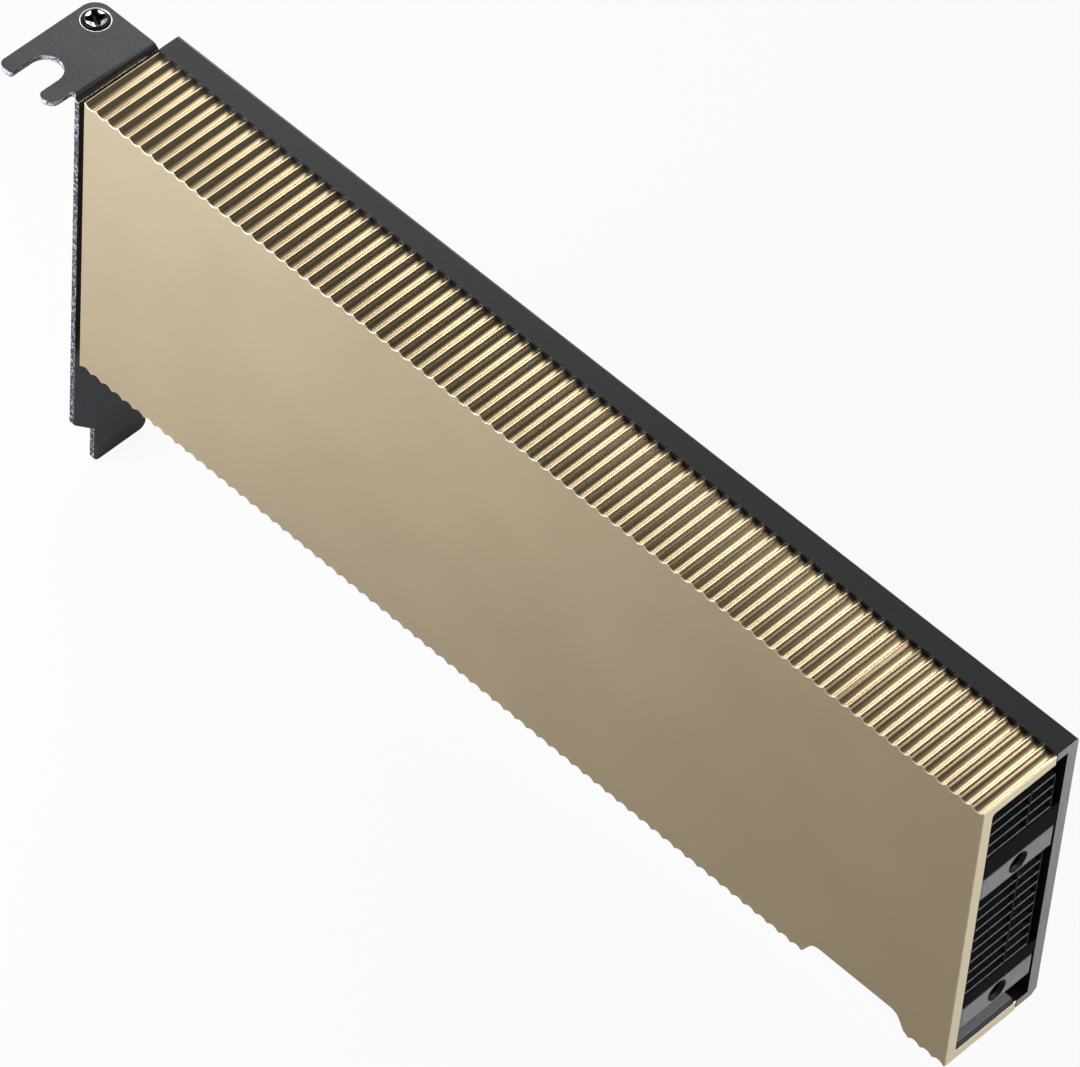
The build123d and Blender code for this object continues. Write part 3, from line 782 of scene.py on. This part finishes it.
def cover_section(top, bottom, flange):
    """The channel's section, as (y, z) pairs round its outside and back round its inside."""
    face_y, back_y = COVER_LOW.y, COVER_HIGH.y
    inner_y = face_y + FACE_WALL
    ceiling, floor = COVER_HIGH.z - TOP_WALL, COVER_LOW.z + BOTTOM_WALL
    rim_y = back_y if flange else inner_y
    eased = 0.3 * FACE_BREAK
    outside = [
        (rim_y, bottom),
        (face_y + FACE_BREAK, bottom),
        (face_y + eased, bottom + eased),
        (face_y, bottom + FACE_BREAK),
        (face_y, top - FACE_BREAK),
        (face_y + eased, top - eased),
        (face_y + FACE_BREAK, top),
        (back_y, top),
    ]
    turns = [math.radians(90 * step / INNER_STEPS) for step in range(INNER_STEPS + 1)]
    upper = [
        (inner_y + INNER_ROUND * (1 - math.sin(turn)), ceiling - INNER_ROUND * (1 - math.cos(turn)))
        for turn in turns
    ]
    lower = [
        (inner_y + INNER_ROUND * (1 - math.cos(turn)), floor + INNER_ROUND * (1 - math.sin(turn)))
        for turn in turns
    ]
    if not flange:
        lower = [(inner_y, max(bottom, floor + INNER_ROUND)) for turn in turns]
    return outside + [(back_y, ceiling)] + upper + lower + [(rim_y, floor if flange else bottom)]


def shrunk(section, amount):
    """The section moved inwards all round, with limited mitres, for the broken edge at each end."""
    count = len(section)
    moved = []
    for index, (y, z) in enumerate(section):
        here = Vector((y, z))
        before = here - Vector(section[index - 1])
        after = Vector(section[(index + 1) % count]) - here
        sides = [side for side in (before, after) if side.length > TOUCH]
        normals = [Vector((-side.y, side.x)).normalized() for side in sides]
        way = sum(normals, Vector((0, 0)))
        opening = max(way.length_squared / len(normals), 0.5)
        reach = min(way.length / opening, MITRE_LIMIT) * amount
        moved.append(tuple(here - way.normalized() * reach))
    return moved


def fluted_cover(face, edge, cut):
    """The gold channel, its flutes run out into the face, its cut edges broken."""
    mesh = bmesh.new()
    columns = cover_columns()
    rings = []
    for index, (x, top, bottom, flange) in enumerate(columns):
        section = cover_section(top, bottom, flange)
        if index == 0:
            rings.append((x, shrunk(section, END_BREAK)))
            x += END_BREAK
        if index == len(columns) - 1:
            rings.append((x - END_BREAK, section))
            section = shrunk(section, END_BREAK)
        rings.append((x, section))
    loops = [[mesh.verts.new((x, y, z)) for y, z in section] for x, section in rings]
    for ring, row, quad in skin(mesh, loops):
        crests = [loop[TOP_ROW + 1].co.z for loop in loops[ring:ring + 2]]
        at_land = min(crests) > COVER_HIGH.z - TOUCH
        at_end = ring == len(loops) - 2
        # Lands and broken edges take the lighter edge finish, partly a painted highlight.
        worn = row in BREAK_ROWS or at_end or (at_land and row == TOP_ROW)
        quad.material_index = 1 if worn else 0
        quad.smooth = row != FACE_ROW
    mesh.faces.new(loops[0])
    mesh.faces.new(list(reversed(loops[-1]))).material_index = 2
    bmesh.ops.remove_doubles(mesh, verts=mesh.verts[:], dist=WELD_REACH)
    mesh.faces.index_update()
    flat = {quad.index for quad in mesh.faces if not quad.smooth}
    piece = piece_from("fluted_cover", mesh, face, edge, cut)
    smooth_below(piece, SMOOTH_ANGLE, flat)
    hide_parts("heatsink_cover")


# Screws
def round_steps(count):
    """Angles of evenly spaced points round a circle."""
    return [2 * math.pi * index / count for index in range(count)]


def cross_reach(angle, size, half_width):
    """How far a cross of straight wings reaches from its middle in one direction."""
    turn = abs((angle + math.pi / 4) % (math.pi / 2) - math.pi / 4)
    straight = size / math.cos(turn)
    side = half_width / max(math.sin(turn), 1e-6)
    corner = half_width * math.sqrt(2)
    return max(min(straight, side), min(corner, side))


def cross_head(mesh, seat, radius, recess, depth, shank, length):
    """A domed head with a tapered cross, from rings of points; its crown lies on the seat plane."""
    wing = WING_SHARE * radius
    angles = round_steps(HEAD_SEGMENTS)
    rims = [cross_reach(angle, recess, wing) for angle in angles]
    rings = [
        [(0.35 * rim, -depth) for rim in rims],
        [(0.8 * cross_reach(angle, 0.8 * recess, 0.8 * wing), -0.9 * depth) for angle in angles],
        [(0.97 * rim, -0.12 * depth) for rim in rims],
        [(1.03 * rim, 0.0) for rim in rims],
        [(max(1.05 * rim, 0.54 * radius), -0.03 * radius) for rim in rims],
    ]
    crown = len(rings) - 1
    for reach, height in (
        (0.8 * radius, -0.12 * radius),
        (0.84 * radius, -0.15 * radius),
        (0.97 * radius, -0.16 * radius),
        (radius, -0.2 * radius),
        (radius, -0.34 * radius),
        (shank, -0.34 * radius - (radius - shank)),
        (shank, -length),
    ):
        rings.append([(reach, height)] * HEAD_SEGMENTS)
    loops = [
        [
            mesh.verts.new(seat @ Vector((reach * math.cos(angle), reach * math.sin(angle), height)))
            for angle, (reach, height) in zip(angles, ring)
        ]
        for ring in rings
    ]
    for ring, place, quad in skin(mesh, loops):
        quad.material_index = 1 if ring == crown else 0
    mesh.faces.new(loops[0])
    mesh.faces.new(list(reversed(loops[-1])))


def tab_screw_piece(finish, worn):
    """The screw in the bracket's tab, a little off the middle of its seat."""
    middle = (TAB_SCREW_LOW + TAB_SCREW_HIGH) / 2
    mesh = bmesh.new()
    top = BRACKET_HIGH.z + TAB_HEAD_PROUD
    off_x, off_y = TAB_HEAD_OFF
    turn = Matrix.Rotation(math.radians(TAB_CROSS_TURN), 4, "Z")
    seat = Matrix.Translation((middle.x + off_x, middle.y + off_y, top)) @ turn
    recess = TAB_CROSS_SHARE * TAB_HEAD_RADIUS
    cross_head(mesh, seat, TAB_HEAD_RADIUS, recess, TAB_CROSS_DEPTH, TAB_SHANK_RADIUS, top - TAB_SCREW_LOW.z)
    # The crown ring takes the second finish, which for this screw is the near-white seat finish, a painted
    # highlight.
    piece = piece_from("tab_screw_head", mesh, finish, worn)
    smooth_below(piece, SMOOTH_ANGLE)
    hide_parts("tab_screw")


def frame_screw_spots():
    """Centres of the four frame screws, from the loose parts of their CAD node."""
    groups = []
    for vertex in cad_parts["frame_screws"].data.vertices:
        near = [group for group in groups if (group[0] - vertex.co).length < FRAME_SCREW_REACH]
        if near:
            near[0].append(vertex.co.copy())
        else:
            groups.append([vertex.co.copy()])
    spots = []
    for points in groups:
        low = Vector([min(values) for values in zip(*points)])
        high = Vector([max(values) for values in zip(*points)])
        spots.append((low + high) / 2)
    return spots


def frame_screw_piece(finish, worn):
    """The screws in the frame's back, each stopped at its own turn."""
    mesh = bmesh.new()
    recess = FRAME_CROSS_SHARE * FRAME_HEAD_RADIUS
    length = FRAME_SCREWS_HIGH.y - FRAME_SCREWS_LOW.y
    outwards = Matrix.Rotation(math.radians(-90), 4, "X")
    for index, middle in enumerate(frame_screw_spots()):
        turn = outwards @ Matrix.Rotation(math.radians(FRAME_CROSS_TURN * index), 4, "Z")
        seat = Matrix.Translation((middle.x, FRAME_SCREWS_HIGH.y, middle.z)) @ turn
        cross_head(mesh, seat, FRAME_HEAD_RADIUS, recess, FRAME_CROSS_DEPTH, FRAME_SHANK_RADIUS, length)
    piece = piece_from("frame_screw_heads", mesh, finish, worn)
    smooth_below(piece, SMOOTH_ANGLE)
    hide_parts("frame_screws")


# Threads in the crossbars' tapped holes
def thread_piece(name, low, high, finish):
    """A helix inside the tapped hole, from the countersink to the hole's end."""
    mesh = bmesh.new()
    mid_y, mid_z = -TAPPED_FROM_BOARD, (low.z + high.z) / 2
    start_x = high.x - TAPPED_SINK
    turns = int((TAPPED_DEPTH - TAPPED_SINK) / THREAD_PITCH) - 1
    rows = []
    for index in range(turns * THREAD_STEPS + 1):
        turned = index / THREAD_STEPS
        angle = 2 * math.pi * turned
        root = TAPPED_RADIUS + THREAD_ROOT
        crest = TAPPED_RADIUS - THREAD_HEIGHT * min(1, turned, turns - turned)
        rows.append([
            mesh.verts.new((
                start_x - THREAD_PITCH * (turned + along),
                mid_y + radius * math.cos(angle),
                mid_z + radius * math.sin(angle),
            ))
            for along, radius in ((0, root), (0.2, crest), (0.32, crest), (0.52, root))
        ])
    for first, second in zip(rows, rows[1:]):
        for index in range(3):
            mesh.faces.new((first[index], second[index], second[index + 1], first[index + 1]))
    piece = piece_from(name, mesh, finish)
    smooth_below(piece, THREAD_ANGLE)


# Bright ring where the tab is countersunk, its near-white colour a painted highlight
def seat_ring_piece(finish):
    """A thin raised lip round the screw, with a cone down beside its head."""
    middle = (TAB_SCREW_LOW + TAB_SCREW_HIGH) / 2
    mesh = bmesh.new()
    profile = [
        (TAB_SEAT_RADIUS + SEAT_LIP_WIDTH, -0.4 * SEAT_LIP_HEIGHT),
        (TAB_SEAT_RADIUS, SEAT_LIP_HEIGHT),
        (TAB_SEAT_RADIUS - SEAT_LIP_WIDTH, -SEAT_LIP_HEIGHT),
        (TAB_HEAD_RADIUS + SEAT_LIP_WIDTH, -SEAT_DEPTH),
    ]
    loops = [
        [
            mesh.verts.new((
                middle.x + radius * math.cos(angle),
                middle.y + radius * math.sin(angle),
                BRACKET_HIGH.z + height,
            ))
            for angle in round_steps(SEAT_SEGMENTS)
        ]
        for radius, height in profile
    ]
    skin(mesh, loops)
    piece = piece_from("tab_seat_ring", mesh, finish)
    smooth_below(piece, SEAT_ANGLE)


# The scene's own pieces, and finishes for the CAD nodes
fluted_cover(blasted_gold(), broken_gold_edge(), cut_gold_end())
dress("back_frame", painted_frame(), paint_edge(), width=0.1 * MM)
dress("fin_stack", dark_fins(), width=0.04 * MM, segments=1)
bars = (("upper", UPPER_BAR_LOW, UPPER_BAR_HIGH), ("lower", LOWER_BAR_LOW, LOWER_BAR_HIGH))
shaded_bar_rim = shaded_bar_edge()
spacer = moulded("spacer_black", (8, 9, 11), 0.6, 0.04)
for side, low, high in bars:
    dress(f"{side}_crossbar", satin_bar(f"{side}_bar_satin", (low.z + high.z) / 2), shaded_bar_rim, width=0.04 * MM)
    dress(f"{side}_spacer", spacer, width=0.15 * MM)
dress("floor_pad", lit_top_pad(), width=0.12 * MM)
dress("io_bracket", black_steel(), sheared_steel(), width=0.1 * MM)
dress("circuit_board", solder_mask(), width=0.05 * MM, segments=1)
dress("edge_contacts", contact_gold())
dress("insulation_sheet", black_film())
dress("processor_package", package_green(), width=0.08 * MM)
dress("processor_die", lapped_die(), width=0.03 * MM)
chip = moulded("moulded_chip", (30, 30, 32), 0.5)
for node in ("memory_chips", "power_stages", "controller_chips"):
    dress(node, chip, width=0.08 * MM)
dress("thermal_pads", soft_pad(), width=0.1 * MM)
dress("heatsink_base", milled_plate(), width=0.15 * MM)
dress("power_inductors", wound_core(), width=0.15 * MM)
coupling_low, coupling_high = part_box("coupling_capacitors")
dress("coupling_capacitors", coupling_ceramic((coupling_low.z + coupling_high.z) / 2), width=0.06 * MM)
dress("ceramic_capacitors", moulded("bulk_ceramic", (120, 98, 74), 0.4), width=0.06 * MM)
dress("tantalum_capacitors", moulded("tantalum_case", (44, 40, 38), 0.45), width=0.12 * MM)
black_screw, seat_highlight_steel = screw_black(), seat_highlight()
tab_screw_piece(black_screw, seat_highlight_steel)
frame_screw_piece(black_screw, black_screw)
for side, low, high in bars:
    thread_piece(f"{side}_bar_thread", low, high, black_screw)
seat_ring_piece(seat_highlight_steel)


# Floor, lights and camera
FLOOR_SIZE = 6.0
FLOOR_GAP = 0.2 * MM
FLOOR_WHITE = 0.93
NEAR_LEVEL, FAR_LEVEL = 0.14, 0.9
NEAR_REACH, FAR_REACH = 0.16, 0.5
HORIZON = 1.7
HORIZON_TOP = 0.12
RIGHT_SHARE = 0.45
CEILING = 0.05
CEILING_FROM = 0.55
LEFT = (-0.87, 0.49, 0.0)
CAMERA_PLACE = (0.479870, -0.533683, 0.880218)
CAMERA_TURN = (39.7701, -3.1761, 44.6727)
LENS = 270.97
SENSOR = 36
CLIP_START = 0.05


def pale_floor():
    """A floor that keeps the object's soft shadow and shows as white.

    In reflections it is white at a distance, with painted shade making it dark close to the object.
    """
    finish = Finish("pale_floor", Roughness=0.8)
    speck = finish.noise(40, detail=2)
    material = finish.set(
        Base_Color=finish.blend(speck, rgb(166, 166, 165), rgb(172, 172, 171)),
        Normal=finish.bump(speck, 0.1 * MM, 0.1),
    )
    camera_ray, transmission_ray, glossy_ray = (
        finish.add("ShaderNodeLightPath", output=f"Is {kind} Ray")
        for kind in ("Camera", "Transmission", "Glossy")
    )
    settings = {"operation": "LENGTH"}
    off_middle = finish.add("ShaderNodeVectorMath", settings, {0: finish.place()}, output="Value")
    # Painted shade in reflections: the floor is darker close to the object than far from it.
    level = finish.between(off_middle, NEAR_LEVEL, FAR_LEVEL, NEAR_REACH, FAR_REACH)
    seen = camera_ray * FLOOR_WHITE + transmission_ray * FLOOR_WHITE + glossy_ray * level
    white = finish.add("ShaderNodeEmission", sockets={"Color": (1, 1, 1, 1), "Strength": 1.0})
    plain = Signal(finish.tree, finish.shader.outputs[0])
    shown = finish.add("ShaderNodeMixShader", sockets={0: seen, 1: plain, 2: white})
    feed(finish.tree, finish.tree.nodes["Material Output"].inputs["Surface"], shown)
    return material


def floor_piece():
    """One wide square just under the object's lowest point."""
    mesh = bmesh.new()
    half, height = FLOOR_SIZE / 2, cad_box[0][2] - FLOOR_GAP
    corners = ((-half, -half), (half, -half), (half, half), (-half, half))
    mesh.faces.new([mesh.verts.new((x, y, height)) for x, y in corners])
    floor = object_from("floor", mesh, pale_floor())


def soft_world():
    """White to the camera; else a pale horizon, brighter on the left, under a dark ceiling."""
    world = bpy.data.worlds.new("soft_room")
    world.use_nodes = True
    bpy.context.scene.world = world
    room = Shading(world.node_tree)
    direction = room.add("ShaderNodeTexCoord", output="Generated")
    height = room.axis(direction, "Z")
    band = room.between(height, 1.0, 0.0, HORIZON_TOP, CEILING_FROM)
    leftness = room.between(room.dot(direction, *LEFT), 0.0, 1.0, 0.0, 0.8)
    level = HORIZON * band * (RIGHT_SHARE + leftness) + CEILING
    seen = room.add("ShaderNodeLightPath", output="Is Camera Ray")
    strength = level + seen * (1.0 - level)
    feed(room.tree, room.tree.nodes["Background"].inputs["Strength"], strength)
    room.tree.nodes["Background"].inputs["Color"].default_value = (1, 1, 1, 1)


def softbox(name, place, target, size, power, tint=(1, 1, 1)):
    """A square area lamp that looks at a target."""
    lamp = bpy.data.lights.new(name, "AREA")
    lamp.shape = "SQUARE"
    lamp.size = size
    lamp.energy = power
    lamp.color = tint
    holder = bpy.data.objects.new(name, lamp)
    holder.visible_camera = False
    holder.location = place
    holder.rotation_euler = (Vector(target) - Vector(place)).to_track_quat("-Z", "Y").to_euler()
    bpy.context.scene.collection.objects.link(holder)


floor_piece()
soft_world()
cover_middle = (COVER_LOW + COVER_HIGH) / 2
softbox("left_wall", (-0.62, 0.37, 0.24), cover_middle, 0.4, 1.9)
softbox("over_tail", (-0.13, 0.15, 0.2), (0.1, 0.0, 0.06), 0.18, 0.2)
softbox("tail_ceiling", (0.078, 0.05, 0.15), (0.2, 0.0, 0.07), 0.09, 0.012)
softbox("right_card", (0.26, 0.09, 0.11), (0.06, 0.01, 0.03), 0.15, 0.26)
softbox("front_left", (-0.34, -0.66, 0.42), cover_middle, 0.3, 0.8)
softbox("floor_pool", (-0.13, -0.15, 0.12), (-0.1, -0.07, 0.0), 0.12, 0.8, (0.9, 0.97, 1.15))

camera_data = bpy.data.cameras.new("camera")
camera_data.lens = LENS
camera_data.sensor_width = SENSOR
camera_data.clip_start = CLIP_START
camera = bpy.data.objects.new("camera", camera_data)
camera.location = CAMERA_PLACE
camera.rotation_euler = [math.radians(turn) for turn in CAMERA_TURN]
bpy.context.scene.collection.objects.link(camera)
bpy.context.scene.camera = camera
bpy.context.scene.view_settings.view_transform = "Standard"
